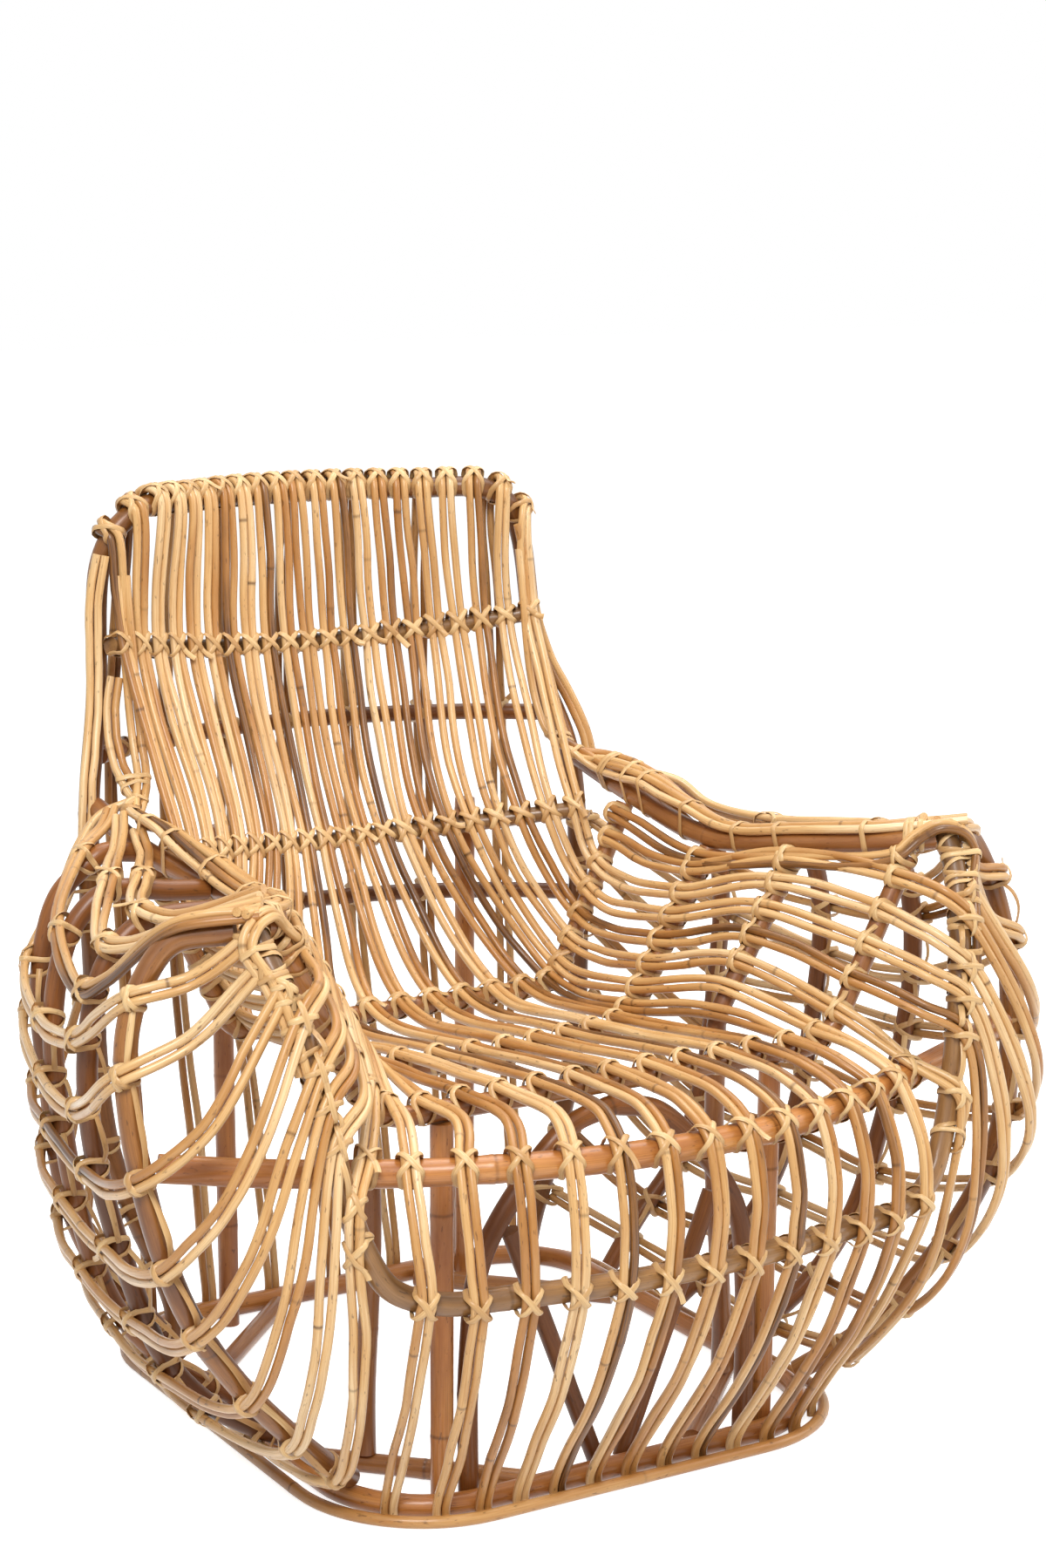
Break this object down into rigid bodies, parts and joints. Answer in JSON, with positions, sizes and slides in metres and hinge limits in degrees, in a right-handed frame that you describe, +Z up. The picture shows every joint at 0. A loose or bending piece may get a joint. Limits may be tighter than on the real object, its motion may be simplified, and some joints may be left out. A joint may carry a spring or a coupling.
{
  "type": "rattan lounge armchair",
  "caption": "Low rattan lounge armchair with a tall curved back and wide rounded arms, made of bent poles covered with strands of paired thin rods that are tied on with cane.",
  "frame": {"origin": "on the floor under the middle of the whole chair", "axes": "+Z up, -Y out of the chair's front, +X to the right of someone who looks at the front"},
  "size_m": [1.0142, 0.8564, 0.912],
  "materials": {
    "straw_rods": "varnished rattan, semi-gloss",
    "honey_poles": "varnished rattan, semi-gloss",
    "tan_poles": "varnished rattan, semi-gloss",
    "olive_poles": "varnished rattan, semi-gloss",
    "russet_poles": "varnished rattan, semi-gloss",
    "cane_bindings": "split cane, satin"
  },
  "bodies": {
    "root": {"base_ring": "honey_poles", "base_edge_rod": "honey_poles", "floor_brace_front_left": "tan_poles", "floor_brace_front_right": "tan_poles", "floor_brace_rear_left": "tan_poles", "floor_brace_rear_right": "tan_poles", "seat_rear_rib": "tan_poles", "seat_middle_rib": "tan_poles", "seat_front_rib": "tan_poles", "front_leg_arch": "russet_poles", "front_post_left": "honey_poles", "front_post_right": "honey_poles", "front_brace_left": "russet_poles", "front_brace_right": "russet_poles", "back_hoop": "tan_poles", "upper_back_bar": "olive_poles", "lower_back_bar": "olive_poles", "rear_upper_rail": "russet_poles", "rear_lower_rail": "russet_poles", "rear_post_left": "honey_poles", "rear_post_right": "honey_poles", "front_hoop": "olive_poles", "front_rail": "honey_poles", "arm_rail_left": "tan_poles", "arm_rail_right": "tan_poles", "corner_pole_left": "olive_poles", "corner_pole_right": "olive_poles", "arm_rib_left": "tan_poles", "arm_rib_right": "tan_poles", "side_pole_front_left": "russet_poles", "side_pole_front_right": "russet_poles", "side_pole_middle_left": "russet_poles", "side_pole_middle_right": "russet_poles", "side_pole_rear_left": "russet_poles", "side_pole_rear_right": "russet_poles", "seat_strand_01": "straw_rods", "seat_strand_02": "straw_rods", "seat_strand_03": "straw_rods", "seat_strand_04": "straw_rods", "seat_strand_05": "straw_rods", "seat_strand_06": "straw_rods", "seat_strand_07": "straw_rods", "seat_strand_08": "straw_rods", "seat_strand_09": "straw_rods", "seat_strand_10": "straw_rods", "seat_strand_11": "straw_rods", "seat_strand_12": "straw_rods", "seat_strand_13": "straw_rods", "arm_strand_left_1": "straw_rods", "arm_strand_left_2": "straw_rods", "arm_strand_left_3": "straw_rods", "arm_strand_left_4": "straw_rods", "arm_strand_left_5": "straw_rods", "arm_strand_right_1": "straw_rods", "arm_strand_right_2": "straw_rods", "arm_strand_right_3": "straw_rods", "arm_strand_right_4": "straw_rods", "arm_strand_right_5": "straw_rods", "arm_loop_left": "straw_rods", "arm_loop_right": "straw_rods"}
  },
  "joints": []
}
